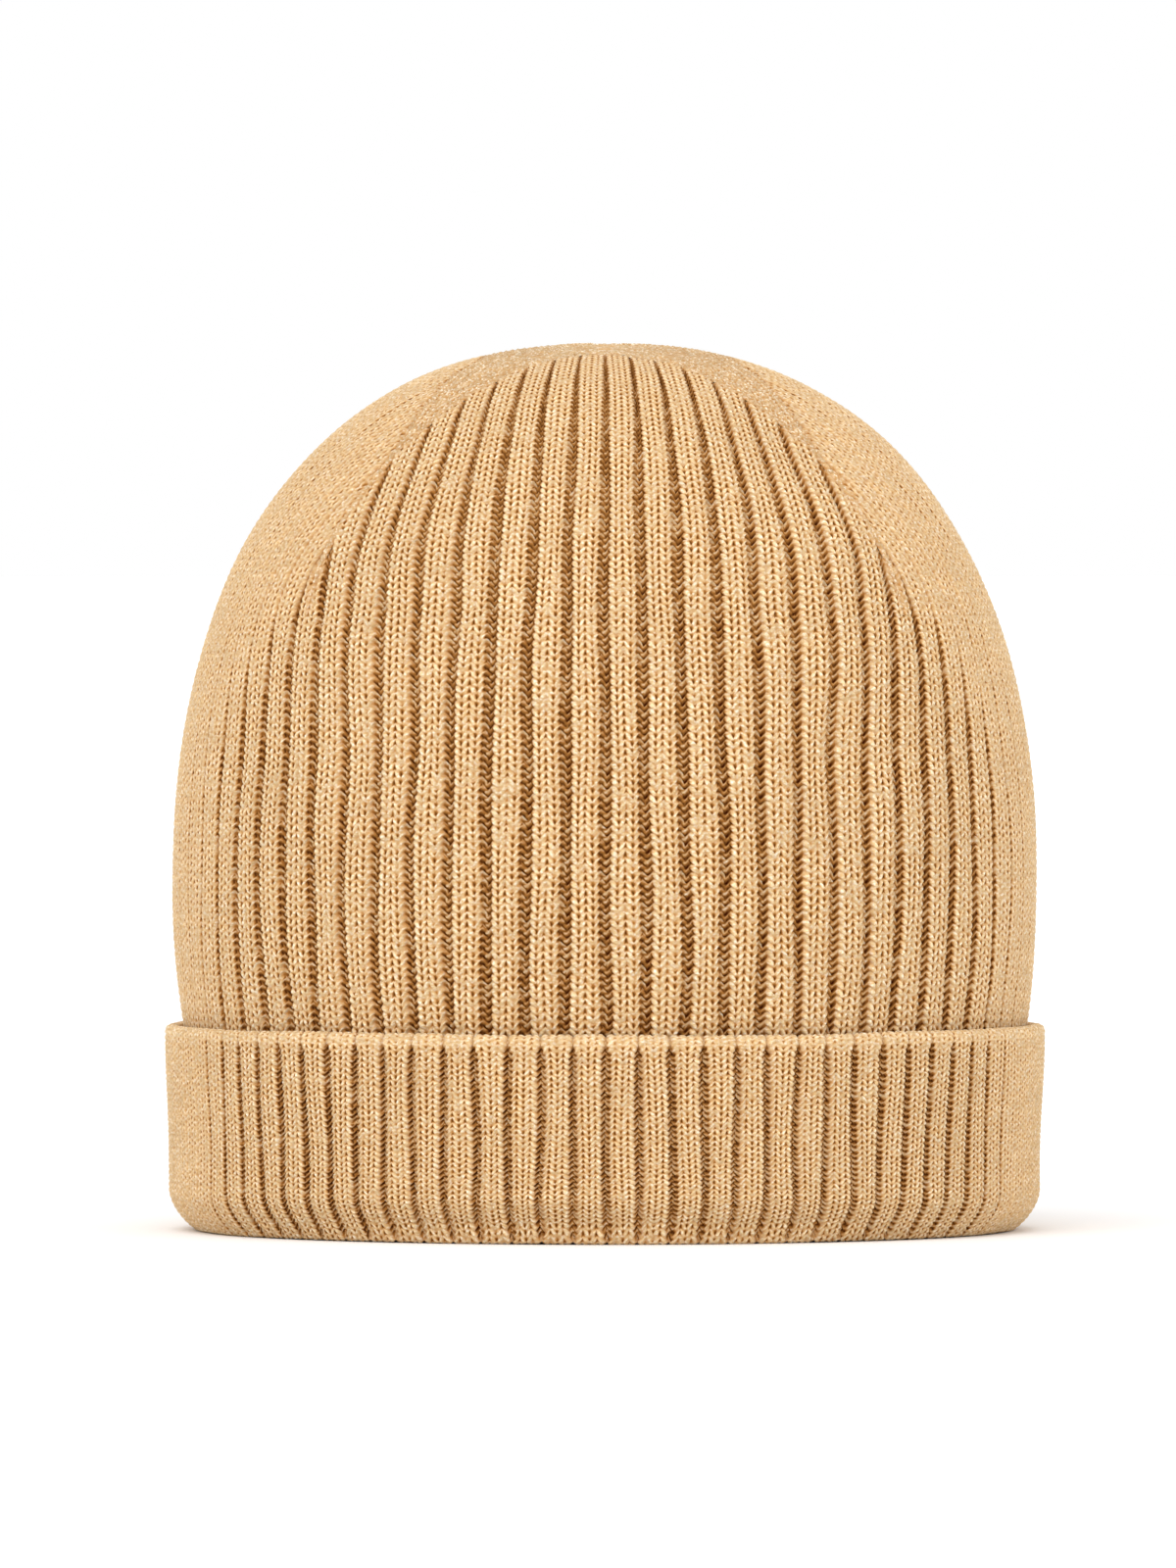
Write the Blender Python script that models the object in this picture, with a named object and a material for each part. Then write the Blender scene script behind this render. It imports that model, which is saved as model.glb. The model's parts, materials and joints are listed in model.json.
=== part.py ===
"""Rib-knitted beanie with a turned-up cuff: the plain solids of its fabric pieces and seams.

Metres, +Z up. The origin is the centre of the ring that the hat stands on, and the hat's
front faces -Y. An azimuth is measured about +Z from the front, positive towards +X.
"""

import math

import bmesh
import bpy
from mathutils import Matrix, Vector

# Body of the hat, over the ribs. Above its widest round the wall follows a superellipse.
BODY_RADIUS = 0.0926
WIDEST_Z = 0.0743
DOME_RISE = 0.1157
DOME_POWER = 2.35
DRAW_IN = 0.0015  # how much narrower the body is this far below its widest round:
DRAW_IN_DROP = 0.025

# Fabric and seams
FABRIC = 0.003
GAP = 0.0003
SEAM_WIDTH = 0.0024
SEAM_RIDGE = 0.0012  # how far a linked seam stands inside the hat

# Crown: four gores between four bands of fashioned stitches, closed at the top
GORE_START_Z = 0.132
BAND_WIDTH = 0.0084
BAND_AZIMUTHS = {
    "front_left": -45.0,
    "front_right": 45.0,
    "back_right": 135.0,
    "back_left": -135.0,
}
CLOSING_RADIUS = 0.0115
THREAD_RADIUS = 0.0009
THREAD_RING_RADIUS = 0.0045

# Band: knitted separately, linked to the body behind the cuff, folded and turned up
CUFF_HEIGHT = 0.0443
FOLD_HEIGHT = 0.009
FOLD_INNER_RISE = 0.003  # the roll is tighter on the side towards the head
WELT_HEIGHT = 0.0024
LINK_BOTTOM_Z = 0.0384
LINK_HEIGHT = 0.0024
INNER_LAYER_RADIUS = 0.0898
CUFF_INNER_RADIUS = 0.0910
CUFF_WAIST_RADIUS = 0.0933
CUFF_TOP_RADIUS = 0.0943
FOLD_FLAT = (0.0876, 0.0892)  # inner and outer radius of the flat ring it stands on

# Blank care label, sewn into the back seam inside the body
LABEL_BOTTOM_Z = 0.052
LABEL_HEIGHT = 0.025
LABEL_LENGTH = 0.038
LABEL_THICKNESS = 0.0008
LABEL_RADIUS = 0.0878
LABEL_START_X = 0.0020  # its sewn edge, beside the seam
LABEL_HINGE_X = 0.0024  # it bends about this upright line, close to that edge

# Facets
ROUND_STEPS = 60
GORE_COLUMNS = 12
BAND_COLUMNS = 3
LABEL_COLUMNS = 6

# Linear colours
BODY_CAMEL = (0.65, 0.42, 0.21)
CROWN_CAMEL = (0.73, 0.50, 0.27)
CUFF_CAMEL = (0.62, 0.37, 0.17)
WELT_CAMEL = (0.76, 0.54, 0.31)
SEAM_CAMEL = (0.50, 0.28, 0.12)
LABEL_IVORY = (0.86, 0.83, 0.76)


def clear_scene():
    for obj in list(bpy.data.objects):
        bpy.data.objects.remove(obj, do_unlink=True)


def wool(name, colour, roughness=0.95):
    """A material of its own for one piece."""
    material = bpy.data.materials.new(name)
    material.use_nodes = True
    shader = material.node_tree.nodes["Principled BSDF"]
    shader.inputs["Base Color"].default_value = (*colour, 1.0)
    shader.inputs["Roughness"].default_value = roughness
    shader.inputs["Metallic"].default_value = 0.0
    material.diffuse_color = (*colour, 1.0)
    return material


def finish_piece(name, bm, colour, roughness=0.95):
    """Turns a bmesh into a named, smooth-shaded object."""
    bmesh.ops.recalc_face_normals(bm, faces=bm.faces)
    mesh = bpy.data.meshes.new(name)
    bm.to_mesh(mesh)
    bm.free()
    mesh.materials.append(wool(name, colour, roughness))
    mesh.shade_smooth()
    mesh.set_sharp_from_angle(angle=math.radians(40))
    obj = bpy.data.objects.new(name, mesh)
    bpy.context.scene.collection.objects.link(obj)
    return obj


def parent_at(name, place, pieces):
    """Parents pieces to an empty on their joint's axis, and leaves them where they are."""
    empty = bpy.data.objects.new(name, None)
    empty.location = place
    bpy.context.scene.collection.objects.link(empty)
    for piece in pieces:
        piece.parent = empty
        piece.matrix_parent_inverse = Matrix.Translation(-place)


def at(radius, azimuth, z):
    return (radius * math.sin(azimuth), -radius * math.cos(azimuth), z)


def spread(low, high, steps):
    return [low + (high - low) * i / steps for i in range(steps + 1)]


def body_row(z):
    """One round of the body below the dome: a point of its outer skin, and its inner skin."""
    below = max(WIDEST_Z - z, 0.0) / DRAW_IN_DROP
    radius = BODY_RADIUS - DRAW_IN * below**2
    return (radius, z), (radius - FABRIC, z)


def dome_row(angle, depth=FABRIC):
    """One round of the dome, at an angle of 0 at its widest round and 90 degrees at its top."""
    power = 2.0 / DOME_POWER
    radius = BODY_RADIUS * math.cos(angle) ** power
    rise = DOME_RISE * math.sin(angle) ** power
    out = (radius / BODY_RADIUS) ** (DOME_POWER - 1) / BODY_RADIUS
    up = (rise / DOME_RISE) ** (DOME_POWER - 1) / DOME_RISE
    length = math.hypot(out, up)
    z = WIDEST_Z + rise
    return (radius, z), (radius - depth * out / length, z - depth * up / length)


def dome_angle_at_z(z):
    return math.asin(((z - WIDEST_Z) / DOME_RISE) ** (DOME_POWER / 2.0))


def dome_angle_at_radius(radius):
    return math.acos((radius / BODY_RADIUS) ** (DOME_POWER / 2.0))


def dome_rows(low_angle, high_angle, steps, depth=FABRIC):
    return [dome_row(angle, depth) for angle in spread(low_angle, high_angle, steps)]


def wall(name, rows, azimuths, colour):
    """A closed solid between an outer and an inner skin.

    rows holds one (outer, inner) pair of (radius, z) points for each round. azimuths gives
    the same number of azimuths at any radius, from one end of the piece to the other.
    """
    bm = bmesh.new()
    skins = []
    for side in (0, 1):
        skin = []
        for row in rows:
            radius, z = row[side]
            skin.append([bm.verts.new(at(radius, a, z)) for a in azimuths(radius)])
        skins.append(skin)
    outer, inner = skins
    last = len(outer[0]) - 1
    for i in range(len(rows) - 1):
        for skin in skins:
            for j in range(last):
                bm.faces.new((skin[i][j], skin[i][j + 1], skin[i + 1][j + 1], skin[i + 1][j]))
        for j in (0, last):
            bm.faces.new((outer[i][j], outer[i + 1][j], inner[i + 1][j], inner[i][j]))
    for i in (0, len(rows) - 1):
        for j in range(last):
            bm.faces.new((outer[i][j], outer[i][j + 1], inner[i][j + 1], inner[i][j]))
    return finish_piece(name, bm, colour)


def turned(name, outline, colour, steps=ROUND_STEPS):
    """A closed solid turned about the hat's axis from an outline of (radius, z) points."""
    bm = bmesh.new()
    points = [bm.verts.new(at(radius, 0.0, z)) for radius, z in outline]
    meets_axis = outline[0][0] == 0.0
    ends = zip(points, points[1:] if meets_axis else points[1:] + points[:1])
    edges = [bm.edges.new(pair) for pair in ends]
    bmesh.ops.spin(
        bm,
        geom=points + edges,
        cent=(0.0, 0.0, 0.0),
        axis=(0.0, 0.0, 1.0),
        angle=2.0 * math.pi,
        steps=steps,
        use_duplicate=False,
    )
    bmesh.ops.remove_doubles(bm, verts=bm.verts, dist=1e-6)
    return finish_piece(name, bm, colour)


def angle_across(distance, radius):
    """The azimuth that a straight distance across a meridian takes up at this radius."""
    return math.asin(distance / radius)


def between(low, high, low_clear, high_clear, columns):
    """Azimuths from one meridian to another, in degrees, clear of each by a distance."""

    def azimuths(radius):
        start = math.radians(low) + angle_across(low_clear, radius)
        end = math.radians(high) - angle_across(high_clear, radius)
        return spread(start, end, columns)

    return azimuths


def along(meridian, width, columns):
    """Azimuths across a strip of constant width that is centred on a meridian."""

    def azimuths(radius):
        middle = math.radians(meridian)
        offsets = spread(-width / 2, width / 2, columns)
        return [middle + angle_across(offset, radius) for offset in offsets]

    return azimuths


BESIDE_SEAM = SEAM_WIDTH / 2 + GAP
BESIDE_BAND = BAND_WIDTH / 2 + GAP
LINK_TOP_Z = LINK_BOTTOM_Z + LINK_HEIGHT
GORE_LOW = dome_angle_at_z(GORE_START_Z + GAP)
GORE_HIGH = dome_angle_at_radius(CLOSING_RADIUS + GAP)


def all_round(radius):
    """Azimuths of a panel that goes all the way round and stops either side of its seam."""
    return between(-180, 180, BESIDE_SEAM, BESIDE_SEAM, ROUND_STEPS)(radius)


def make_body_panel():
    low = [body_row(z) for z in spread(LINK_TOP_Z + GAP, WIDEST_Z, 3)]
    high = dome_rows(0.0, dome_angle_at_z(GORE_START_Z), 4)
    wall("body_panel", low + high[1:], all_round, BODY_CAMEL)


def make_crown():
    rows = dome_rows(GORE_LOW, GORE_HIGH, 9)
    for name, middle in (("front", 0), ("left", -90), ("right", 90)):
        span = between(middle - 45, middle + 45, BESIDE_BAND, BESIDE_BAND, GORE_COLUMNS)
        wall("crown_gore_" + name, rows, span, CROWN_CAMEL)
    half = GORE_COLUMNS // 2
    right = between(135, 180, BESIDE_BAND, BESIDE_SEAM, half)
    left = between(-180, -135, BESIDE_SEAM, BESIDE_BAND, half)
    wall("crown_gore_back_right", rows, right, CROWN_CAMEL)
    wall("crown_gore_back_left", rows, left, CROWN_CAMEL)
    for name, meridian in BAND_AZIMUTHS.items():
        strip = along(meridian, BAND_WIDTH, BAND_COLUMNS)
        wall("fashioning_band_" + name, rows, strip, CROWN_CAMEL)


def make_crown_closing():
    """The last round of stitches, drawn together, and the thread that holds them inside."""
    rows = dome_rows(dome_angle_at_radius(CLOSING_RADIUS), math.pi / 2, 4)
    outer = [row[0] for row in rows[:-1]] + [(0.0, WIDEST_Z + DOME_RISE)]
    inner = [row[1] for row in rows[:-1]] + [(0.0, WIDEST_Z + DOME_RISE - FABRIC)]
    turned("crown_closing", outer[::-1] + inner, CROWN_CAMEL, 24)
    middle_z = inner[0][1] - GAP - THREAD_RADIUS
    ring = [
        (THREAD_RING_RADIUS + THREAD_RADIUS * math.cos(a), middle_z + THREAD_RADIUS * math.sin(a))
        for a in spread(0.0, 2.0 * math.pi, 8)[:-1]
    ]
    turned("closing_thread", ring, SEAM_CAMEL, 24)


def make_back_seam():
    """The seam that closes the body and the crown, from the band's link to the closing."""
    ridge = FABRIC + SEAM_RIDGE
    low = []
    for z in spread(LINK_TOP_Z + GAP, WIDEST_Z, 3):
        outer, inner = body_row(z)
        low.append((outer, (inner[0] - SEAM_RIDGE, z)))
    high = dome_rows(0.0, GORE_HIGH, 12, ridge)
    wall("back_seam", low + high[1:], along(180, SEAM_WIDTH, 2), SEAM_CAMEL)


def make_inner_layer():
    """The layer of the band that lies on the head, its seam, and its link to the body."""
    inside = INNER_LAYER_RADIUS - FABRIC
    low, high = FOLD_HEIGHT + GAP, LINK_BOTTOM_Z - GAP
    rows = [((INNER_LAYER_RADIUS, z), (inside, z)) for z in (low, high)]
    wall("band_inner_layer", rows, all_round, CUFF_CAMEL)
    rows = [((INNER_LAYER_RADIUS, z), (inside - SEAM_RIDGE, z)) for z in (low, high)]
    wall("band_inner_seam", rows, along(180, SEAM_WIDTH, 2), SEAM_CAMEL)
    ring = [
        (INNER_LAYER_RADIUS, LINK_BOTTOM_Z),
        (INNER_LAYER_RADIUS, LINK_TOP_Z),
        (inside, LINK_TOP_Z),
        (inside - SEAM_RIDGE, (LINK_BOTTOM_Z + LINK_TOP_Z) / 2),
        (inside, LINK_BOTTOM_Z),
    ]
    turned("band_link_seam", ring, SEAM_CAMEL)


def cuff_row(share):
    """One round of the turned-up layer, which flares towards its top."""
    low, high = FOLD_HEIGHT + GAP, CUFF_HEIGHT - WELT_HEIGHT - GAP
    z = low + (high - low) * share
    flare = (CUFF_TOP_RADIUS - CUFF_WAIST_RADIUS) * math.sin(share * math.pi / 2) ** 3
    return (CUFF_WAIST_RADIUS + flare, z), (CUFF_INNER_RADIUS, z)


def quarter_roll(flat_radius, wall_radius, rise, steps):
    """The rounded edge from the flat ring at the bottom up to a wall."""
    outline = []
    for angle in spread(0.0, math.pi / 2, steps):
        radius = flat_radius + (wall_radius - flat_radius) * math.sin(angle)
        outline.append((radius, rise * (1.0 - math.cos(angle))))
    return outline


def make_cuff():
    rows = [cuff_row(share) for share in spread(0.0, 1.0, 4)]
    layer = wall("cuff_outer_layer", rows, all_round, CUFF_CAMEL)
    seam = wall("cuff_back_seam", rows, along(180, SEAM_WIDTH, 2), SEAM_CAMEL)

    low = CUFF_HEIGHT - WELT_HEIGHT
    bevel = WELT_HEIGHT / 3
    welt_outline = [
        (CUFF_INNER_RADIUS, low),
        (CUFF_TOP_RADIUS - bevel / 2, low),
        (CUFF_TOP_RADIUS, low + bevel),
        (CUFF_TOP_RADIUS - bevel, CUFF_HEIGHT),
        (CUFF_INNER_RADIUS + bevel, CUFF_HEIGHT),
        (CUFF_INNER_RADIUS, CUFF_HEIGHT - bevel),
    ]
    welt = turned("cuff_edge_welt", welt_outline, WELT_CAMEL)

    flat_inner, flat_outer = FOLD_FLAT
    outer_roll = quarter_roll(flat_outer, CUFF_WAIST_RADIUS, FOLD_HEIGHT, 5)
    inner_roll = quarter_roll(flat_inner, INNER_LAYER_RADIUS - FABRIC, FOLD_INNER_RISE, 3)
    inner_top = (INNER_LAYER_RADIUS - FABRIC, FOLD_HEIGHT)
    fold = turned("cuff_fold", outer_roll[::-1] + inner_roll + [inner_top], CUFF_CAMEL)

    parent_at("cuff_travel", Vector((0.0, 0.0, 0.0)), [layer, seam, welt, fold])


def make_care_label():
    """A blank folded label whose edge is caught in the back seam."""
    low = LABEL_BOTTOM_Z
    high = low + LABEL_HEIGHT
    outer, inner = LABEL_RADIUS, LABEL_RADIUS - LABEL_THICKNESS
    rows = [((outer, z), (inner, z)) for z in (low, high)]

    def azimuths(radius):
        start = math.pi - LABEL_LENGTH / LABEL_RADIUS
        return spread(start, math.pi - angle_across(LABEL_START_X, radius), LABEL_COLUMNS)

    label = wall("care_label", rows, azimuths, LABEL_IVORY)
    hinge_azimuth = math.pi - angle_across(LABEL_HINGE_X, LABEL_RADIUS)
    hinge_radius = LABEL_RADIUS - LABEL_THICKNESS / 2
    place = Vector(at(hinge_radius, hinge_azimuth, (low + high) / 2))
    parent_at("label_hinge", place, [label])


def main():
    clear_scene()
    make_body_panel()
    make_crown()
    make_crown_closing()
    make_back_seam()
    make_inner_layer()
    make_cuff()
    make_care_label()


main()
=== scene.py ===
"""Looks of the rib-knitted beanie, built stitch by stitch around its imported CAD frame.

Metres, +Z up, the hat's front faces -Y. An azimuth is measured about +Z from the front,
positive towards +X. Every knitted surface is a grid of points: its rows follow the courses
of the knitting, and its columns follow the ribs.
"""

import json
import math
from typing import NamedTuple

import bpy
import numpy as np
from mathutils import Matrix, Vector

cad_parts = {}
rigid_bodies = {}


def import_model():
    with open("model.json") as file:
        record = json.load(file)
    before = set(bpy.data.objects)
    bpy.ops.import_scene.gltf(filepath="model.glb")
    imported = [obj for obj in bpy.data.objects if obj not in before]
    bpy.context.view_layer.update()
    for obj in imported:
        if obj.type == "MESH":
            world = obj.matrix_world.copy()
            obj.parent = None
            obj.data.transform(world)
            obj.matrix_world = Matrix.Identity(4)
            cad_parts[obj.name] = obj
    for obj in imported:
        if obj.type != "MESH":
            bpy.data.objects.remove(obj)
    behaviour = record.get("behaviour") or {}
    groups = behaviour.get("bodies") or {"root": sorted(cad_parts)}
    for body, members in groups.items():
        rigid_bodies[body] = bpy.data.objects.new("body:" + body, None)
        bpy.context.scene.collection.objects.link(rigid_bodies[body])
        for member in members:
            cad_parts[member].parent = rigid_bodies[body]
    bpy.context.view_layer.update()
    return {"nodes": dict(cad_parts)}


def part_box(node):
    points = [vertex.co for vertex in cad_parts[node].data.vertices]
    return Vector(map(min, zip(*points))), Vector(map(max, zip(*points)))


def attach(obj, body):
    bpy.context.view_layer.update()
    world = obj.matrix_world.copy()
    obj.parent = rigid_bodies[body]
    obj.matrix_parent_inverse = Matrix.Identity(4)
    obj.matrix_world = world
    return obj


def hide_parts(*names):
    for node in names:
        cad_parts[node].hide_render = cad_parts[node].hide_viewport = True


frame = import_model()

MM = 0.001
TURN = 2 * math.pi


def box_radius(node):
    low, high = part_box(node)
    return (high.x - low.x) / 2


# Places that come from the CAD nodes
APEX_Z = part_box("crown_closing")[1].z
CLOSING_RADIUS = box_radius("crown_closing")
PANEL_LOW_Z, PANEL_HIGH_Z = (corner.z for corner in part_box("body_panel"))
FOLD_TOP_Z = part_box("cuff_fold")[1].z
WELT_LOW_Z, WELT_TOP_Z = (corner.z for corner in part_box("cuff_edge_welt"))
CUFF_TOP_RADIUS = box_radius("cuff_edge_welt")
LINK_LOW_Z, LINK_TOP_Z = (corner.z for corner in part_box("band_link_seam"))
INNER_LAYER_RADIUS = box_radius("band_link_seam")
INNER_LAYER_LOW_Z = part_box("band_inner_layer")[0].z

# Body: below its widest round it draws in, and above it the wall is a superellipse
BODY_RADIUS = 92.6 * MM
WIDEST_Z = 74.3 * MM
DOME_RISE = APEX_Z - WIDEST_Z
DOME_POWER = 2.31
DRAW_IN = 1.5 * MM
DRAW_IN_DROP = 25.0 * MM
FABRIC = 3.0 * MM

# Turned-up band
CUFF_INNER_RADIUS = 91.0 * MM
CUFF_WAIST_RADIUS = 93.3 * MM
FOLD_FLAT = (86.9 * MM, 87.2 * MM)
FOLD_ROUND = 0.65  # 1 makes its outer side a quarter of an ellipse
FOLD_INNER_RISE = 3.0 * MM
FRONT_LIFT = 2.2 * MM  # rise of the fold's outer edge at the front and the back
LIFT_FADES_Z = 24.0 * MM  # where the wall is level again
LIFT_GROWS = 3.4 * MM  # width over which it grows, outwards from the ring the hat rests on

# Crown: ribs of each quarter end along a line, and plain bands lie between the quarters
QUARTER_RIBS = 17.0
LEAST_BAND = (0.3 * MM, 1.0 * MM)  # half width of a plain band at its foot, and above it
MOST_BAND = 11.6 * MM  # and near the top
BAND_OPENS_RADIUS = 68.0 * MM
BAND_FULL_RADIUS = 30.0 * MM
TIP_RADIUS = 25.3 * MM  # where the last ribs of a quarter end
QUARTER_WIDENS = math.radians(4.5)  # the front and back quarters are the wider ones
WIDENED_FROM_Z = 98.0 * MM
WIDEST_QUARTER_Z = 142.0 * MM
WIDENED_TO_Z = 174.0 * MM
SEAM_HALF = 0.8 * MM  # half the gap in the knitting under the back seam
CLOSING_LEVEL = -0.2 * MM  # height of the knitting where the bands meet the last stitches
TUCK = 1.2 * MM  # how far one piece of the crown goes under the next
TUCK_SINKS = 0.9 * MM  # and how far its edge sinks to do so
TIP_ROUND = 5.0 * MM  # a quarter's ribs end in a round tip over this radius
FOOT_GROWS = 16.0 * MM  # a band grows from its foot's width over this length
RIBS_LOST = 0.085  # by a quarter for each millimetre up
LOSS_DELAY = 12.0  # millimetres: how gently that starts
LATE_LOSS = 5e-6  # how much faster it goes near the top
LEAST_OPEN = 0.24  # how open the furrows are where they are closest together
DRAWN_PITCH = 5.2 * MM  # their pitch there
RELAXED_BY = 2.6 * MM  # and how much wider it is where they are fully open
LAST_ROUND = 1.4 * MM  # width over which the bands and the last stitches meet level
CLOSING_FOLDS = 14

ROW_PHASES = np.array([0.0, 0.2, 0.5, 0.8])  # rows of points within one course

# Where a piece's outer and inner sides lie in the height of its texture
OUTER_HEIGHT = 0.86
INNER_FROM = 0.88
INNER_HEIGHT = 0.115


class Knit(NamedTuple):
    """Sizes of a two-by-one rib: two plain wales, then a furrow of one purl wale."""

    ribs: int  # in a full round
    pitch: float
    wale: float
    course: float
    slant: float  # rise of a stitch's leg in courses: negative if it points up
    depth: float  # from the top of a rib to the floor of its furrow

    @property
    def half_furrow(self):
        """Half a furrow's width, as a share of the pitch."""
        return (self.pitch - 2 * self.wale) / 2 / self.pitch


BODY_KNIT = Knit(68, 8.556 * MM, 3.14 * MM, 1.65 * MM, 0.95, 2.0 * MM)
CUFF_KNIT = Knit(84, 6.99 * MM, 2.70 * MM, 1.26 * MM, -0.95, 1.9 * MM)
CUFF_CLOSES = (55.0, 68.0)  # degrees from the front or back over which its furrows close
BODY_CLOSES_LOW = (55.0, 72.0)  # the same for the body, up to SIDE_LOW_Z
BODY_CLOSES_HIGH = (38.0, 46.0)  # and from SIDE_HIGH_Z up
SIDE_LOW_Z = 104.0 * MM
SIDE_HIGH_Z = 146.0 * MM

GROOVE = 0.40 * MM  # between the two legs of a wale
STITCH = 0.40 * MM  # between two courses
BETWEEN_WALES = 0.10 * MM  # how much deeper the line between two wales is
SHOULDER_DROP = 0.30 * MM  # how far a rib's edge slopes down beside an open furrow
SHOULDER_WIDTH = 0.7 * MM
CREASE = 0.24 * MM  # the line that a closed furrow leaves
SWING = 0.30 * MM  # how far a furrow's line turns to each side within one course
JITTER = 0.12  # of a course: how far a leg lies above or below its place
WANDER = 0.22 * MM  # size of the ribs' slow sideways drift
UNEVEN = 0.12 * MM  # and of the fabric's slow rise and fall
FIXED_ANGLE = 0.1  # ribs don't wander within this angle of the back seam
LINING_RIDGE = 0.45 * MM  # a furrow's height on the inner side of the fabric
LINING_RAISED = 0.25 * MM  # brings the inner side's mean back to its place
SEED = 11

# Plain knitting of the crown
PLAIN_WALE = 2.6 * MM
CLOSING_WALE = 2.3 * MM
PLAIN_COURSE = 1.5 * MM
PLAIN_SLANT = 0.9
CLOSING_STITCHES_RADIUS = 9.0 * MM  # the last stitches are as wide as on this ring

PRESSED_FURROW = 0.25  # how open the inner layer's furrows are
SEAM_WIDE = 1.45 * MM  # half the width of an upright seam
SEAM_RIDGE = 1.2 * MM  # how far a seam stands inside the hat
LABEL_LENGTH = 76.0 * MM  # of ribbon, before it is folded in two
LABEL_PLY = 0.30 * MM
LABEL_GAP = 0.20 * MM  # between its two layers
LABEL_SEWN_X = 2.0 * MM  # its sewn ends, beside the back seam

# Linear colours
LIGHT = (0.835, 0.665, 0.388)
# The same yarn as LIGHT, darker: painted shade on the crown's plain knitting
PLAIN_SHADED = (0.575, 0.42, 0.232)
# Painted shade: warm brown in the knitting's hollows, near black in its deepest ones
PAINTED_SHADE_WARM = (0.44, 0.188, 0.042)
PAINTED_SHADE_DEEP = (0.05, 0.008, 0.001)
SPECKLE = (1.0, 0.95, 0.78)
SHADE = (0.56, 0.31, 0.10)
SEAM_YARN = (0.64, 0.37, 0.16)
LABEL_IVORY = (0.86, 0.83, 0.76)


def clipped(share):
    return np.clip(share, 0.0, 1.0)


def smooth(share):
    share = clipped(share)
    return share * share * (3.0 - 2.0 * share)


def stacked(*fields):
    """Fields of one shape, or of shapes that broadcast, side by side in a last dimension."""
    return np.stack(np.broadcast_arrays(*fields), -1)


def walk(line):
    """The length walked along a line of points up to each of them."""
    steps = np.linalg.norm(np.diff(line, axis=0), axis=1)
    return np.concatenate([[0.0], np.cumsum(steps)])


def normals(line, *spacing):
    """Unit normals of a flat line of points, on the right as it is walked."""
    along = np.gradient(line, *spacing, axis=0)
    along /= np.linalg.norm(along, axis=1)[:, None]
    return stacked(along[:, 1], -along[:, 0])


def widening(z):
    """How far the lines between the crown's quarters lie nearer the sides, in radians."""
    rise = smooth((z - WIDENED_FROM_Z) / (WIDEST_QUARTER_Z - WIDENED_FROM_Z))
    return QUARTER_WIDENS * rise * smooth((WIDENED_TO_Z - z) / (WIDENED_TO_Z - WIDEST_QUARTER_Z))


class Profile:
    """A line in (radius, z), walked by its length, with the normal on its outer side."""

    def __init__(self, points, widened=False):
        self.points = points
        self.widened = widened
        self.walked = np.concatenate([[0.0], np.cumsum(np.hypot(*np.diff(points, axis=0).T))])
        self.length = self.walked[-1]
        self.normals = normals(self.points, self.walked)

    def at(self, s):
        """(radius, z, normal's radius part, normal's z part) at a length s."""
        lines = (*self.points.T, *self.normals.T)
        return [np.interp(s, self.walked, line) for line in lines]

    def skin(self, s, azimuth, height):
        """Points at lengths s and azimuths, raised by height along the normal."""
        radius, z, out, up = self.at(s)
        if self.widened:
            across = np.sin(2 * azimuth)
            azimuth = azimuth + widening(z) * across * across**2
        radius = radius + out * height
        return stacked(radius * np.sin(azimuth), -radius * np.cos(azimuth), z + up * height)


def upright(radius, low_z, high_z, points):
    z = np.linspace(low_z, high_z, points)
    return Profile(stacked(np.full(points, radius), z))


def body_profile():
    z = np.linspace(PANEL_LOW_Z, WIDEST_Z, 24)
    low = stacked(BODY_RADIUS - DRAW_IN * ((WIDEST_Z - z) / DRAW_IN_DROP) ** 2, z)
    angle = np.linspace(0.0, math.pi / 2, 240)[1:]
    power = 2.0 / DOME_POWER
    radius = BODY_RADIUS * np.cos(angle).clip(0.0) ** power
    dome = stacked(radius, WIDEST_Z + DOME_RISE * np.sin(angle) ** power)
    return Profile(np.concatenate([low, dome]), widened=True)


BODY = body_profile()
CROWN_START = float(np.interp(PANEL_HIGH_Z, BODY.points[:, 1], BODY.walked))
CLOSING_START = float(np.interp(-CLOSING_RADIUS, -BODY.points[24:, 0], BODY.walked[24:]))
TIP_START = float(np.interp(-TIP_RADIUS, -BODY.points[24:, 0], BODY.walked[24:]))


def grid_of(points, painted_shade, yarn, uv, flip=False, free=None):
    """A grid of points for build().

    painted_shade is how much painted shade a point gets, 0 on the surface and 1 deep down, yarn
    is a place on the knitting and a tone, and free says which points make faces.
    """
    shape = points.shape[:2]
    painted_shade = np.broadcast_to(painted_shade, shape).ravel()
    yarn = np.broadcast_to(yarn, (*shape, 3)).reshape(-1, 3)
    uv = np.broadcast_to(uv, (*shape, 2)).reshape(-1, 2)
    return points, painted_shade, yarn, uv, flip, free


def placed(name, data, place=Vector(), aim=None):
    """An object in the scene. A light or a camera is turned towards its aim."""
    obj = bpy.data.objects.new(name, data)
    obj.location = place
    if aim is not None:
        obj.rotation_mode = "QUATERNION"
        obj.rotation_quaternion = (aim - Vector(place)).to_track_quat("-Z", "Y")
    bpy.context.scene.collection.objects.link(obj)
    return obj


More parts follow.
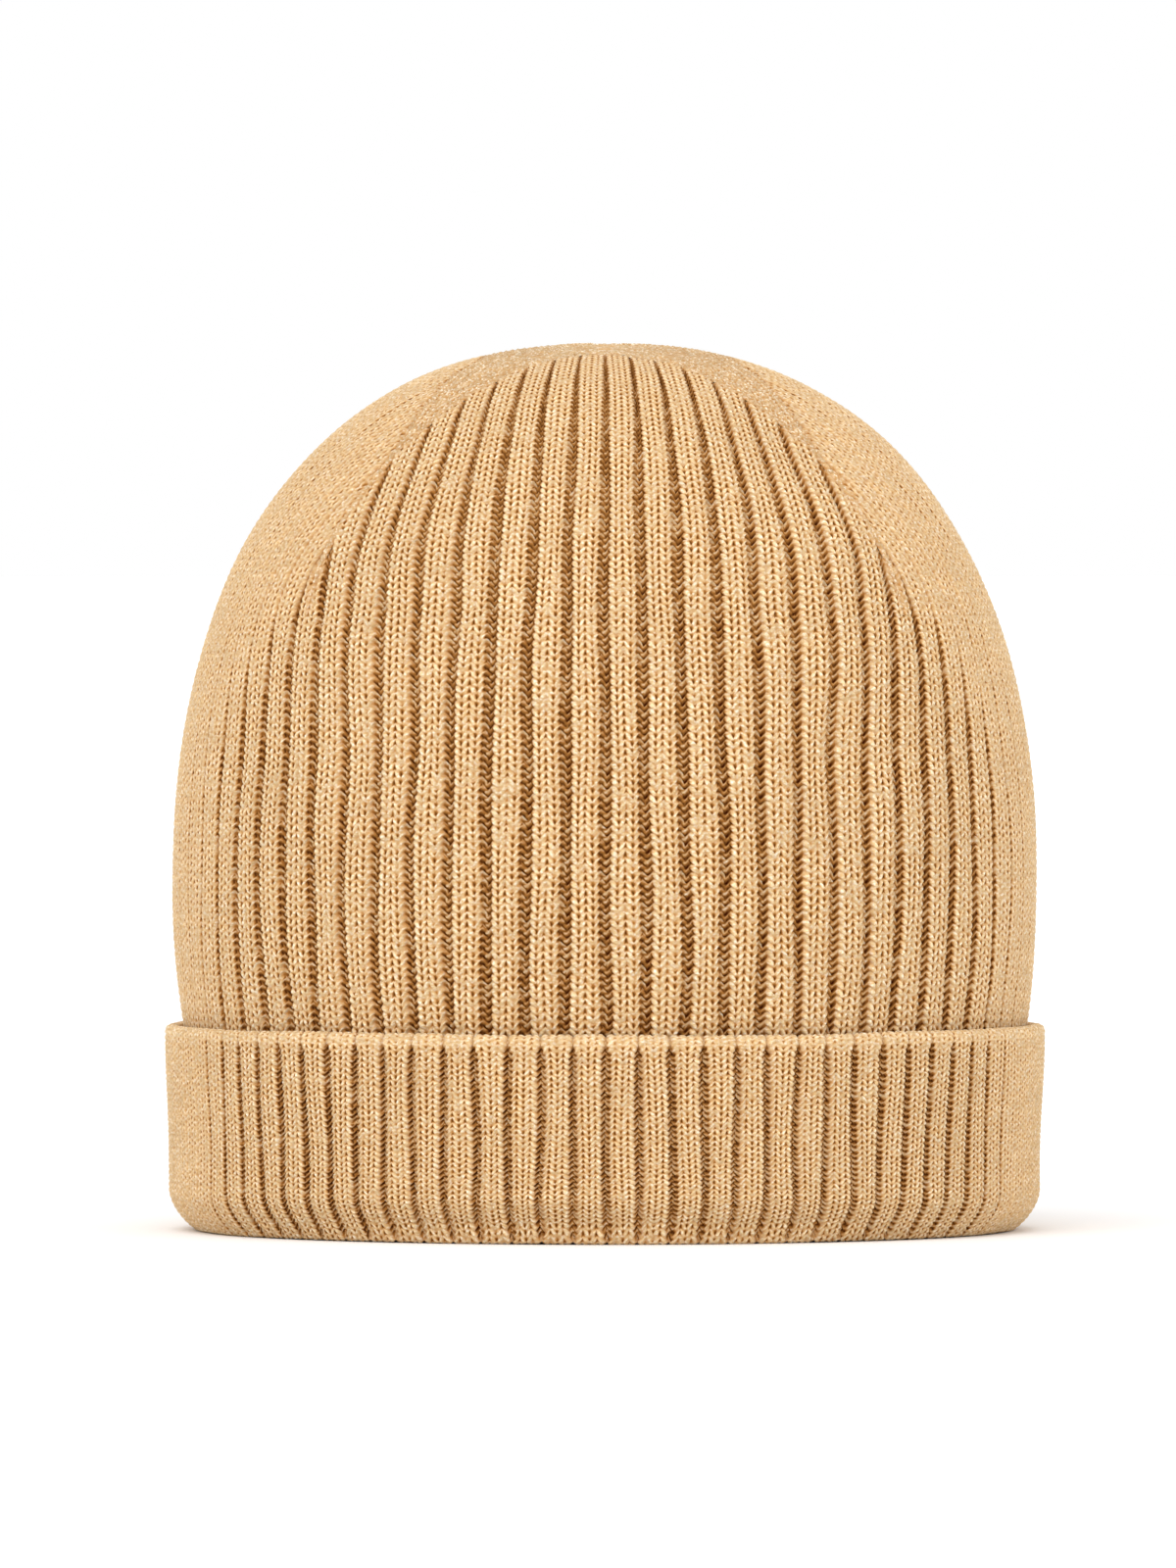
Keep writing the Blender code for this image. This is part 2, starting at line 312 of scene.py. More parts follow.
def build(name, node, grids, material):
    """Makes one piece of some grids, in place of a CAD node."""
    faces, start = [], 0
    for points, *_, flip, free in grids:
        rows, columns = points.shape[:2]
        index = np.arange(start, start + rows * columns).reshape(rows, columns)
        quads = stacked(index[:-1, :-1], index[:-1, 1:], index[1:, 1:], index[1:, :-1])
        if flip:
            quads = quads[..., ::-1]
        quads = quads.reshape(-1, 4)
        if free is not None:
            quads = quads[free.ravel()[quads - start].any(axis=1)]
        faces.append(quads)
        start += rows * columns
    points = np.concatenate([grid[0].reshape(-1, 3) for grid in grids])
    fields = (np.concatenate([grid[k] for grid in grids]) for k in (1, 2, 3))
    mesh = mesh_of(name, points, np.concatenate(faces), *fields)
    mesh.materials.append(material)
    piece = placed(name, mesh)
    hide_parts(node)
    return piece


def mesh_of(name, points, faces, painted_shade, yarn, uv):
    """A mesh of quads, with coinciding points joined, so that some become triangles."""
    keys = np.round(points * 2e6).astype(np.int64)
    keys = (keys[:, 0] * 4_000_037 + keys[:, 1]) * 4_000_037 + keys[:, 2]
    _, first, index = np.unique(keys, return_index=True, return_inverse=True)
    joined = index.reshape(-1)[faces]
    same = joined == np.roll(joined, -1, axis=1)
    flat = same.sum(axis=1)
    quads = faces[flat == 0]
    ends = [faces[(flat == 1) & same[:, corner]] for corner in range(4)]
    ends = np.concatenate([np.delete(part, k, axis=1) for k, part in enumerate(ends)])
    corners = np.concatenate([quads.ravel(), ends.ravel()])
    used, loops = np.unique(index.reshape(-1)[corners], return_inverse=True)
    starts = np.concatenate([np.arange(len(quads)) * 4, quads.size + np.arange(len(ends)) * 3])
    mesh = bpy.data.meshes.new(name)
    mesh.vertices.add(len(used))
    mesh.vertices.foreach_set("co", points[first[used]].astype(np.float32).ravel())
    mesh.loops.add(len(loops))
    mesh.loops.foreach_set("vertex_index", loops.astype(np.int32).reshape(-1))
    mesh.polygons.add(len(starts))
    mesh.polygons.foreach_set("loop_start", starts.astype(np.int32))
    mesh.update(calc_edges=True)
    # painted_shade holds the painted shade of each point, which the wool material reads
    kinds = ("painted_shade", "FLOAT", "value", painted_shade), ("yarn", "FLOAT_VECTOR", "vector", yarn)
    for field, kind, key, values in kinds:
        data = mesh.attributes.new(field, kind, "POINT").data
        data.foreach_set(key, values[first[used]].astype(np.float32).ravel())
    layer = mesh.uv_layers.new(name="OFBake")
    layer.data.foreach_set("uv", uv[corners].astype(np.float32).ravel())
    mesh.shade_smooth()
    return mesh


# The shape of the knitting


def ring_azimuths(knit, places):
    return places * TURN / knit.ribs


def rib_places(knit, first, last):
    """Places across ribs first to last, counted in ribs: a whole number is a furrow's middle."""
    half = knit.half_furrow
    furrow = np.array([0.0, 0.45, 0.86]) * half
    rib = half + (1 - 2 * half) * np.arange(12) / 12
    one = np.concatenate([furrow, rib, 1 - half * np.array([1.0, 0.86, 0.45])])
    return np.append((np.arange(first, last)[:, None] + one).ravel(), last)


def across_rib(knit, place):
    """(share from a furrow's middle to its wall, place over the two wales from 0 to 2)."""
    across = place - np.floor(place)
    from_furrow = np.minimum(across, 1 - across)
    bowl = clipped(from_furrow / knit.half_furrow)
    wales = 2 * clipped((across - knit.half_furrow) / (1 - 2 * knit.half_furrow))
    return bowl, wales


def rise_of_leg(knit, place):
    """How far a course is shifted along the hat at a place, in courses."""
    bowl, wales = across_rib(knit, place)
    leg = np.abs(2 * (wales - np.floor(wales)) - 1)
    return knit.slant * np.where(bowl < 1, 0.25 + 0.75 * bowl, leg)


def relief(knit, place, phase, furrow=1.0, size=1.0, tones=0.0):
    """(height, painted shade) of the stitches: phase is 0 between two courses.

    furrow is 1 where a furrow is open and 0 where its two ribs touch. size scales the relief
    where the ribs are drawn together.
    """
    bowl, wales = across_rib(knit, place)
    leg = np.abs(np.sin(TURN * wales)) ** 0.6
    between = 1 - np.sin(math.pi * phase) ** 2
    edge = np.minimum(wales, 2 - wales) * knit.wale
    opened = clipped(furrow)
    shoulder = (1 - smooth(edge / SHOULDER_WIDTH)) * opened
    groove = (GROOVE + BETWEEN_WALES * np.cos(math.pi * wales) ** 2) * (1 - leg)
    rib = -groove - SHOULDER_DROP * shoulder - STITCH * between * (0.35 + 0.65 * leg)
    wall = GROOVE + BETWEEN_WALES + SHOULDER_DROP * opened
    floor = 1 - bowl**4
    # The furrow's own stitches slant across it, so that their strands interlock
    inside = (place - np.round(place)) / knit.half_furrow
    strand = np.sin(math.pi * (phase + 0.25 * np.clip(3 * inside, -1, 1))) ** 2
    sunk = floor * np.sqrt(opened)
    deep = wall + (knit.depth - wall) * sunk + CREASE * (1 - bowl) * (1 - opened)
    loops = 0.70 * knit.half_furrow * knit.pitch * strand * sunk
    purl = loops - deep - STITCH * 0.5 * between * (1 - sunk)
    height = np.where(bowl < 1, purl, rib * (0.6 + 0.4 * opened)) * size
    # Painted shade in the pits between legs and courses, on the rib edges and in the furrows
    pit_shade = (1 - leg) * (0.16 + 1.30 * between**1.4 * (1 + 0.85 * tones))
    rib_shade = (0.27 * leg * between**2 + pit_shade) * (0.42 + 0.58 * opened)
    rib_shade = rib_shade + 0.07 * shoulder + 0.12 * (1 - opened)
    filled = floor * smooth(opened / 0.5)
    crease_shade = (0.24 + 0.28 * between) * (1 - filled)
    open_shade = 1.25 - 1.05 * strand * (0.4 + 0.6 * opened) + 0.28 * tones
    furrow_shade = crease_shade + filled * open_shade
    return height, clipped(np.where(bowl < 1, furrow_shade, rib_shade))


def narrowed(knit, place, furrow):
    """Moves places so that a furrow narrows as it closes, and the ribs beside it widen."""
    whole = np.floor(place)
    across = place - whole
    half = knit.half_furrow
    width = 0.22 + 0.78 * clipped(furrow)
    rib = half * width + (across - half) / (1 - 2 * half) * (1 - 2 * half * width)
    left = across * width
    right = 1 - (1 - across) * width
    return whole + np.where(across < half, left, np.where(across > 1 - half, right, rib))


def swing(knit, place, phase, furrow):
    """How far the stitches push a furrow's line to each side in turn, in metres."""
    away = np.abs(place - np.round(place)) / knit.half_furrow
    near = clipped(1.5 - 0.5 * away) * clipped(furrow)
    return SWING * near * np.sin(TURN * (phase + 0.5))


def side_furrow(azimuth, closes):
    """How open the furrows are: the ribs close up towards the hat's two sides."""
    turned = np.degrees(np.arcsin(clipped(np.abs(np.sin(azimuth)))))
    low, high = closes
    return 1 - smooth((turned - low) / (high - low))


def body_closes(s):
    """The angles between which the body's furrows close, at a length."""
    up = clipped((BODY.at(s)[1] - SIDE_LOW_Z) / (SIDE_HIGH_Z - SIDE_LOW_Z))
    return [a + (b - a) * up for a, b in zip(BODY_CLOSES_LOW, BODY_CLOSES_HIGH)]


def wander(azimuth, s):
    """A slow sideways drift of the ribs, in radians."""
    drift = (
        np.sin(5 * azimuth + s / (19 * MM))
        + 0.8 * np.sin(13 * azimuth - s / (12 * MM) + 1.3)
        + 0.7 * np.sin(29 * azimuth + s / (8.5 * MM) + 0.4)
        + 0.5 * np.sin(47 * azimuth - s / (6.0 * MM) + 2.2)
    )
    return WANDER * drift / BODY_RADIUS


def unevenness(azimuth, s):
    """A slow rise and fall of the fabric along its normal."""
    wave = np.sin(4 * azimuth + s / (21 * MM) + 0.7) + 0.7 * np.sin(9 * azimuth - s / (11 * MM))
    return UNEVEN * (wave + 0.5 * np.sin(17 * azimuth + s / (7 * MM)))


def stitch_tones(knit, places, rows):
    """A random tone for each leg of each stitch, from -1 to 1."""
    _, wales = across_rib(knit, places)
    legs = np.floor(places).astype(int) * 5 + np.floor(wales * 2 + 0.5).astype(int)
    courses = np.floor(rows[:, 0] + 1e-6).astype(int)
    table = np.random.default_rng(SEED).uniform(-1, 1, (np.ptp(courses) + 1, np.ptp(legs) + 1))
    return table[(courses - courses.min())[:, None], (legs - legs.min())[None, :]]


def leg_tones(across, along, wale):
    """The same for plain knitting, where across and along are distances over it."""
    wales = across / wale
    courses = along / PLAIN_COURSE - PLAIN_SLANT * np.abs(2 * (wales - np.floor(wales)) - 1)
    legs = np.floor(wales * 2).astype(int)
    courses = np.floor(courses).astype(int)
    table = np.random.default_rng(SEED + 1).uniform(-1, 1, (97, 89))
    high, wide = table.shape
    return table[courses % high, legs % wide]


def course_rows(knit, places, low, high):
    """(lengths before they stop at low and high, lengths, tones) of the points of stitches."""
    margin = abs(knit.slant) + 1
    first = math.floor(low / knit.course - margin)
    last = math.ceil(high / knit.course + margin)
    rows = (np.arange(first, last)[:, None] + ROW_PHASES).reshape(-1, 1)
    raw = (rows + rise_of_leg(knit, places)[None, :]) * knit.course
    return raw, np.clip(raw, low, high), stitch_tones(knit, places, rows)


def uv_of(across, up, inner=False):
    """A flat layout for the textures, from shares of its width and height."""
    return stacked(across, INNER_FROM + INNER_HEIGHT * up if inner else OUTER_HEIGHT * up)


def uv_round(s, azimuth, low, high, inner=False):
    """The layout of a piece that goes all the way round."""
    across = 0.002 + 0.996 * (azimuth / TURN + 0.5)
    return uv_of(across, (s - low) / (high - low), inner)


def ribbed_skin(profile, knit, places, low, high, furrow=None, lift=None, closes=None):
    """A grid of stitches between two lengths of a profile, with its columns along the ribs."""
    raw, s, tones = course_rows(knit, places, low, high)
    nominal = ring_azimuths(knit, places)[None, :]
    opened = side_furrow(nominal, closes(s) if closes else CUFF_CLOSES) * np.ones(s.shape)
    if furrow is not None:
        opened = opened * furrow(s)
    from_edge = smooth(np.minimum(s - low, high - s) / knit.course)
    phase = s / knit.course - rise_of_leg(knit, places)[None, :] + JITTER * tones * from_edge
    height, painted_shade = relief(knit, places[None, :], phase, opened, tones=tones)
    height = height + unevenness(nominal, s)
    inside = ring_azimuths(knit, narrowed(knit, places[None, :], opened))
    fixed = smooth((math.pi - np.abs(nominal)) / FIXED_ANGLE)
    turned = swing(knit, places[None, :], phase, opened * from_edge) / BODY_RADIUS
    azimuth = inside + (wander(nominal, s) + turned) * fixed
    points = profile.skin(s, azimuth, height)
    if lift is not None:
        points[..., 2] += lift(points, azimuth)
    yarn = stacked(places[None, :] * knit.pitch, s, tones)
    free = (raw > low) & (raw < high)
    return grid_of(points, painted_shade, yarn, uv_round(s, azimuth, low, high), free=free)


def inner_side(place, depth):
    """(1 behind a furrow and 0 behind a rib, height) of a fabric's inner side."""
    ridge = 0.5 + 0.5 * np.cos(TURN * place)
    return ridge, -depth - LINING_RIDGE * ridge**1.5 + LINING_RAISED


def lining_skin(profile, knit, azimuths, lengths, depth):
    """The inner side of a ribbed piece, where each furrow stands out as a rib."""
    s, azimuth = np.meshgrid(lengths, azimuths, indexing="ij")
    place = azimuth * knit.ribs / TURN
    ridge, height = inner_side(place, depth)
    points = profile.skin(s, azimuth, height)
    yarn = stacked(place * knit.pitch, s, 0.0 * s)
    uv = uv_round(s, azimuth, lengths[0], lengths[-1], inner=True)
    # Painted shade between the ridges of the inner side
    return grid_of(points, 0.35 * (1 - ridge), yarn, uv, flip=True)


def rim(outer, inner, flip):
    """The edge of a piece, between a line on its outer skin and the same line on its inner."""
    points = np.stack([outer, inner])
    uv = np.zeros((2, len(outer), 2))
    uv[0, :, 1], uv[1, :, 1] = 0.868, 0.872
    uv[..., 0] = np.linspace(0.002, 0.998, len(outer))
    # The cut edge gets painted shade all over
    return grid_of(points, 0.45, points, uv, flip)


# Materials


class Nodes:
    """Adds nodes to a material and links them in one call each."""

    def __init__(self, name):
        self.material = bpy.data.materials.new(name)
        self.material.use_nodes = True
        self.tree = self.material.node_tree
        self.shader = self.tree.nodes["Principled BSDF"]

    def add(self, kind, inputs=None, **settings):
        node = self.tree.nodes.new(kind)
        for key, value in settings.items():
            setattr(node, key, value)
        for key, value in (inputs or {}).items():
            self.put(node.inputs[key], value)
        return node

    def surface(self, name, value):
        self.put(self.shader.inputs[name], value)

    def put(self, socket, value):
        if isinstance(value, bpy.types.NodeSocket):
            self.tree.links.new(value, socket)
        elif socket.type == "RGBA":
            socket.default_value = (*value, 1.0)
        else:
            socket.default_value = value

    def noise(self, vector, scale, detail=2.0, roughness=0.5):
        inputs = {"Vector": vector, "Scale": scale, "Detail": detail, "Roughness": roughness}
        return self.add("ShaderNodeTexNoise", inputs).outputs["Fac"]

    def math(self, operation, first, second=0.0):
        return self.add("ShaderNodeMath", {0: first, 1: second}, operation=operation).outputs[0]

    def times(self, first, second):
        return self.math("MULTIPLY", first, second)

    def plus(self, first, second):
        return self.math("ADD", first, second)

    def field(self, name, output="Vector"):
        """What build() stored at each point of the mesh."""
        return self.add("ShaderNodeAttribute", attribute_name=name).outputs[output]

    def ramp(self, value, low, high, first=0.0, last=1.0):
        """Maps low to first and high to last, and stops there."""
        inputs = {0: value, 1: low, 2: high, 3: first, 4: last}
        return self.add("ShaderNodeMapRange", inputs).outputs["Result"]

    def mix(self, share, first, second, blend="MIX"):
        node = self.add("ShaderNodeMix", data_type="RGBA", blend_type=blend)
        self.put(node.inputs["Factor"], share)
        self.put(node.inputs[6], first)
        self.put(node.inputs[7], second)
        return node.outputs[2]

    def stretch(self, vector, scale):
        inputs = {"Vector": vector, "Scale": scale}
        return self.add("ShaderNodeMapping", inputs).outputs["Vector"]


def wool(name, light=LIGHT, shade_strength=1.0):
    """Melange wool: speckled fibres, a fibrous bump, and painted shade in brown in its hollows.
    """
    n = Nodes(name)
    place = n.add("ShaderNodeTexCoord").outputs["Object"]
    painted_shade = n.field("painted_shade", "Fac")
    yarn = n.field("yarn")

    speckle = n.noise(place, 1900.0, 3.0, 0.6)
    flecks = n.noise(n.stretch(yarn, (900.0, 1700.0, 0.0)), 1.0, 2.0, 0.55)
    streaks = n.noise(n.stretch(yarn, (35.0, 330.0, 0.0)), 1.0, 2.0, 0.5)
    patches = n.noise(place, 45.0, 2.0, 0.5)
    leg_tone = n.add("ShaderNodeSeparateXYZ", {0: yarn}).outputs["Z"]

    colour = n.mix(n.ramp(speckle, 0.48, 0.64), light, SPECKLE)
    colour = n.mix(n.times(n.ramp(flecks, 0.60, 0.38), 0.62), colour, SHADE)
    tone = n.plus(n.times(streaks, 0.22), n.times(patches, 0.14))
    tone = n.plus(tone, n.times(leg_tone, 0.135))
    tone = n.plus(tone, 0.82)
    shade = n.add("ShaderNodeCombineColor", {"Red": tone, "Green": tone, "Blue": tone})
    colour = n.mix(1.0, colour, shade.outputs["Color"], "MULTIPLY")
    # Painted shade: hollows are mixed towards warm brown, the deepest towards near black
    depth = n.times(painted_shade, shade_strength)
    colour = n.mix(n.ramp(depth, 0.0, 0.55), colour, PAINTED_SHADE_WARM)
    colour = n.mix(n.ramp(depth, 0.45, 1.0), colour, PAINTED_SHADE_DEEP)
    n.surface("Base Color", colour)

    n.surface("Roughness", n.ramp(speckle, 0.0, 1.0, 0.78, 0.98))
    # Sheen and specular fade in the painted shade too
    exposed = n.ramp(depth, 0.8, 0.1)
    gloss = n.times(exposed, 0.12)
    n.surface("Specular IOR Level", gloss)
    n.surface("Sheen Weight", gloss)
    n.surface("Sheen Roughness", 0.5)
    n.surface("Sheen Tint", (1.0, 0.86, 0.68))

    fibres = n.noise(n.stretch(place, (1.0, 1.0, 0.55)), 3600.0, 3.0, 0.65)
    bumps = n.plus(n.times(fibres, 0.7), n.times(speckle, 0.6))
    bump = n.add("ShaderNodeBump", {"Height": bumps, "Strength": 0.55, "Distance": 0.35 * MM})
    n.surface("Normal", bump.outputs["Normal"])
    return n.material


# Pieces


def all_places(knit):
    """The places of a full round, from the back round the front to the back."""
    return rib_places(knit, -knit.ribs // 2, knit.ribs // 2)


def beside_seam(knit, radius):
    """The same, but they stop beside the back seam."""
    limit = knit.ribs / 2 - SEAM_HALF / radius * knit.ribs / TURN
    return np.clip(all_places(knit), -limit, limit)


def shell(name, node, profile, knit, places, high, material, closes=None, furrow=None):
    """A ribbed piece from a profile's foot up, with both its sides and its edges."""
    azimuths = ring_azimuths(knit, places)
    outer = ribbed_skin(profile, knit, places, 0.0, high, furrow, closes=closes)
    coarse = np.linspace(azimuths[0], azimuths[-1], 8 * knit.ribs + 1)
    lengths = np.linspace(0.0, high, max(3, round(high / knit.course)))
    grids = [outer, lining_skin(profile, knit, coarse, lengths, FABRIC)]
    for row, s in ((0, 0.0), (-1, high)):
        bottom = profile.skin(s, azimuths, -FABRIC)
        grids.append(rim(outer[0][row], bottom, row == 0))
    return build(name, node, grids, material)


def make_body(material):
    places = beside_seam(BODY_KNIT, BODY_RADIUS)
    node = "body_panel"
    return shell("body", node, BODY, BODY_KNIT, places, CROWN_START, material, body_closes)


def quarter_width(s):
    """(half width of a quarter's ribs, half width of the quarter) at a length."""
    radius = BODY.at(s)[0]
    whole = radius * math.pi / 4
    opened = clipped((BAND_OPENS_RADIUS - radius) / (BAND_OPENS_RADIUS - BAND_FULL_RADIUS))
    foot, least = LEAST_BAND
    least = foot + (least - foot) * smooth((s - CROWN_START) / FOOT_GROWS)
    band = np.maximum(MOST_BAND * opened**1.15, least)
    tip = np.sqrt(clipped((radius - TIP_RADIUS) / TIP_ROUND))
    return (whole - band) * tip, whole


def quarter_ribs(s):
    """How many ribs a quarter has at a length, plain band included."""
    up = np.clip(s - CROWN_START, 0.0, None) / MM
    return QUARTER_RIBS - RIBS_LOST * up**2 / (up + LOSS_DELAY) - LATE_LOSS * up**3


def quarter_open(s, pitch, to_edge):
    """How open a quarter's furrows are: they narrow upwards and close at the ribs' ends."""
    drawn = LEAST_OPEN + (1 - LEAST_OPEN) * smooth((pitch - DRAWN_PITCH) / RELAXED_BY)
    return drawn * smooth(to_edge / (1.9 * MM)) * smooth((TIP_START - s) / (2.5 * MM))


def gore_skin(middle, first, last, seam_side):
    """The outer side of a quarter's ribs, which end one by one along its two sides."""
    knit = BODY_KNIT
    places = rib_places(knit, first, last)
    raw, s, tones = course_rows(knit, places, CROWN_START, TIP_START)
    radius = BODY.at(s)[0]
    ribs_half, whole = quarter_width(s)
    pitch = 2 * whole / quarter_ribs(s)
    limit = (ribs_half + TUCK) / pitch
    seam = SEAM_HALF / pitch
    low = np.where(seam_side > 0, seam, -limit)
    high = np.where(seam_side < 0, -seam, limit)
    place = np.clip(np.broadcast_to(places[None, :], s.shape), low, np.maximum(low, high))
    to_edge = (limit - np.abs(place)) * pitch - TUCK
    nominal = middle + place * pitch / radius
    opened = quarter_open(s, pitch, to_edge)
    if abs(math.sin(middle)) > 0.5:  # at the side
        opened = opened * side_furrow(nominal, body_closes(s))
    size = np.clip(pitch / (0.91 * knit.pitch), 0.6, 1.0)
    from_edge = smooth(np.minimum(s - CROWN_START, to_edge) / knit.course)
    phase = s / knit.course - rise_of_leg(knit, place) + JITTER * tones * from_edge
    height, painted_shade = relief(knit, place, phase, opened, size, tones)
    border = clipped(-to_edge / TUCK)
    shift = (narrowed(knit, place, opened) - place) * clipped(1 + to_edge / TUCK)
    azimuth = nominal + shift * pitch / radius
    height = height - TUCK_SINKS * border + unevenness(nominal, s)
    round_hat = (nominal + math.pi) % TURN - math.pi
    off_seam = smooth((math.pi - np.abs(round_hat)) / FIXED_ANGLE)
    off_band = smooth(to_edge / (6 * MM))
    above_foot = smooth((s - CROWN_START) / (12 * MM))
    free_to_drift = off_seam * (off_band * above_foot + 1 - above_foot)
    azimuth = azimuth + wander(round_hat, s) * free_to_drift
    turned = swing(knit, place, phase, opened * from_edge) * size
    azimuth = azimuth + turned * off_seam / radius
    # Painted shade where the ribs end and tuck under the band
    painted_shade = clipped(painted_shade + 0.12 * (1 - smooth(to_edge / (0.8 * MM))))
    points = BODY.skin(s, azimuth, height)
    free = (raw > CROWN_START) & (raw < TIP_START)
    free &= (places[None, :] > low) & (places[None, :] < high)
    up = (s - CROWN_START) / (TIP_START - CROWN_START)
    uv = uv_of(0.5 + 0.49 * (azimuth - middle) / (math.pi / 2), up)
    yarn = stacked(place * knit.pitch, s, tones)
    return grid_of(points, painted_shade, yarn, uv, free=free)


def gore_lining(middle, seam_side):
    """The inner side of a quarter's ribs, which stops beside the back seam."""
    lengths = np.linspace(CROWN_START, TIP_START, 60)
    half, _ = quarter_width(lengths)
    share = np.linspace(-1.0 if seam_side <= 0 else 0.0, 1.0 if seam_side >= 0 else 0.0, 73)
    spread = half[:, None] * share / BODY.at(lengths)[0][:, None]
    place = spread / (math.pi / 2) * quarter_ribs(lengths)[:, None]
    ridge, height = inner_side(place, FABRIC)
    lengths = np.broadcast_to(lengths[:, None], spread.shape)
    points = BODY.skin(lengths, middle + spread, height)
    up = (lengths - CROWN_START) / (TIP_START - CROWN_START)
    uv = uv_of(0.5 + 0.49 * spread / (math.pi / 2), up, inner=True)
    yarn = stacked(spread * BODY_RADIUS, lengths, 0 * up)
    # Painted shade between the ridges of the inner side
    return grid_of(points, 0.3 * (1 - ridge), yarn, uv, flip=True)


def edge_line(middle, side):
    """The line where a quarter's ribs end, from the foot of the crown to its tip."""
    s = np.linspace(CROWN_START, TIP_START, 240)
    half, _ = quarter_width(s)
    azimuth = middle + side * half / BODY.at(s)[0]
    return BODY.skin(s, azimuth, 0.0)


def nearest(points, line):
    """(distance, length along the line) from each point to a line of points."""
    walked, found = walk(line), []
    for some in np.array_split(points.reshape(-1, 3), 8):
        gaps = np.linalg.norm(some[:, None] - line, axis=2)
        found.append((gaps.min(axis=1), walked[gaps.argmin(axis=1)]))
    return [np.concatenate(values).reshape(points.shape[:-1]) for values in zip(*found)]


def plain_stitches(wale, across, along):
    """(height, painted shade) of plain knitting: across is the distance over its wales."""
    wales = across / wale
    leg = np.abs(np.sin(TURN * wales)) ** 0.65
    rise = PLAIN_SLANT * np.abs(2 * (wales - np.floor(wales)) - 1)
    crest = np.sin(math.pi * (along / PLAIN_COURSE - rise)) ** 2
    height = -GROOVE * (1 - leg) - 0.85 * STITCH * (1 - crest) * (0.35 + 0.65 * leg)
    # Painted shade between the legs and between the courses
    stitch_shade = 0.30 * leg * (1 - crest) ** 2 + (1 - leg) * (0.20 + 0.60 * (1 - crest))
    return height, stitch_shade


def make_band(name, node, meridian, material):
    """A plain band between two quarters, with its wales along the lines where ribs end."""
    s = np.arange(CROWN_START, CLOSING_START, 0.36 * MM)
    s[-1] = CLOSING_START
    half, whole = quarter_width(s)
    lateral = (whole - half)[:, None] * np.linspace(-1.0, 1.0, 73)
    azimuth = meridian + lateral / BODY.at(s)[0][:, None]
    lengths = np.broadcast_to(s[:, None], azimuth.shape)
    base = BODY.skin(lengths, azimuth, 0.0)
    gap, along = nearest(base, edge_line(meridian - math.pi / 4, 1))
    other_gap, other_along = nearest(base, edge_line(meridian + math.pi / 4, -1))
    apart = np.abs(gap - other_gap)
    along = np.where(gap <= other_gap, along, other_along)
    gap = np.minimum(gap, other_gap)
    height, painted_shade = plain_stitches(PLAIN_WALE, gap, along)
    settle = smooth(apart / (1.2 * MM))
    border = np.exp(-((gap / (0.6 * MM)) ** 2))
    height = height * (0.4 + 0.6 * settle) - 0.30 * MM * border
    # Painted shade in the sunk line along the ribs' ends
    painted_shade = painted_shade * (0.6 + 0.4 * settle) + 0.12 * border
    last = smooth((CLOSING_START - lengths) / LAST_ROUND)
    height = CLOSING_LEVEL + (height - CLOSING_LEVEL) * last
    height = height + unevenness(azimuth, lengths)
    points = BODY.skin(lengths, azimuth, height)
    up = (lengths - s[0]) / (s[-1] - s[0])
    across = 0.5 + 0.47 * (azimuth - meridian) / (math.pi / 4)
    uv = uv_of(across, up)
    yarn = stacked(gap, along, leg_tones(gap, along, PLAIN_WALE))
    outer = grid_of(points, painted_shade, yarn, uv)
    under = BODY.skin(lengths[::4, ::4], azimuth[::4, ::4], -FABRIC)
    uv = uv_of(across, up, inner=True)[::4, ::4]
    # Its inner side gets a little painted shade all over
    inner = grid_of(under, 0.12, under, uv, flip=True)
    return build(name, node, [outer, inner], material)


def make_closing(material):
    """The last stitches, drawn together in small folds round a low knot."""
    s = np.linspace(CLOSING_START - TUCK, BODY.length, 46)
    azimuth = np.linspace(-math.pi, math.pi, 289)
    s, azimuth = np.meshgrid(s, azimuth, indexing="ij")
    radius = BODY.at(s)[0]
    share = clipped(radius / CLOSING_RADIUS)
    folds = (0.5 + 0.5 * np.cos(CLOSING_FOLDS * azimuth + 1.5 * np.sin(3 * azimuth))) ** 1.5
    pull = smooth((0.80 - share) / 0.5) * smooth(share / 0.25)
    flattened = -0.5 * MM * np.exp(-((radius / (4.0 * MM)) ** 2))
    inwards, around = BODY.length - s, azimuth * CLOSING_STITCHES_RADIUS
    stitches, painted_shade = plain_stitches(CLOSING_WALE, inwards, around)
    calm = smooth(share / 0.35)
    tucked = clipped((CLOSING_START - s) / TUCK)
    last = smooth((s - CLOSING_START) / LAST_ROUND) * calm
    height = CLOSING_LEVEL + (stitches - CLOSING_LEVEL) * last - 0.28 * MM * pull * folds
    height = height + flattened - TUCK_SINKS * tucked
    height = height + unevenness(azimuth, s) * smooth(share / 0.6)
    # Painted shade in the hollows of the small folds
    painted_shade = painted_shade * calm + 0.26 * folds * pull
    points = BODY.skin(s, azimuth, height)
    flat = 0.40 * (radius / CLOSING_RADIUS)[..., None]
    uv = 0.5 + flat * stacked(np.sin(azimuth), np.cos(azimuth))
    yarn = stacked(azimuth * 4 * MM, s, leg_tones(inwards, around, CLOSING_WALE))
    outer = grid_of(points, painted_shade, yarn, uv)
    under = BODY.skin(s[::3, ::6], azimuth[::3, ::6], -FABRIC)
    uv = clipped(uv[::3, ::6] * 0.1)
    # Its inner side gets painted shade all over
    inner = grid_of(under, 0.2, under, uv, flip=True)
    return build("crown_top", "crown_closing", [outer, inner], material)


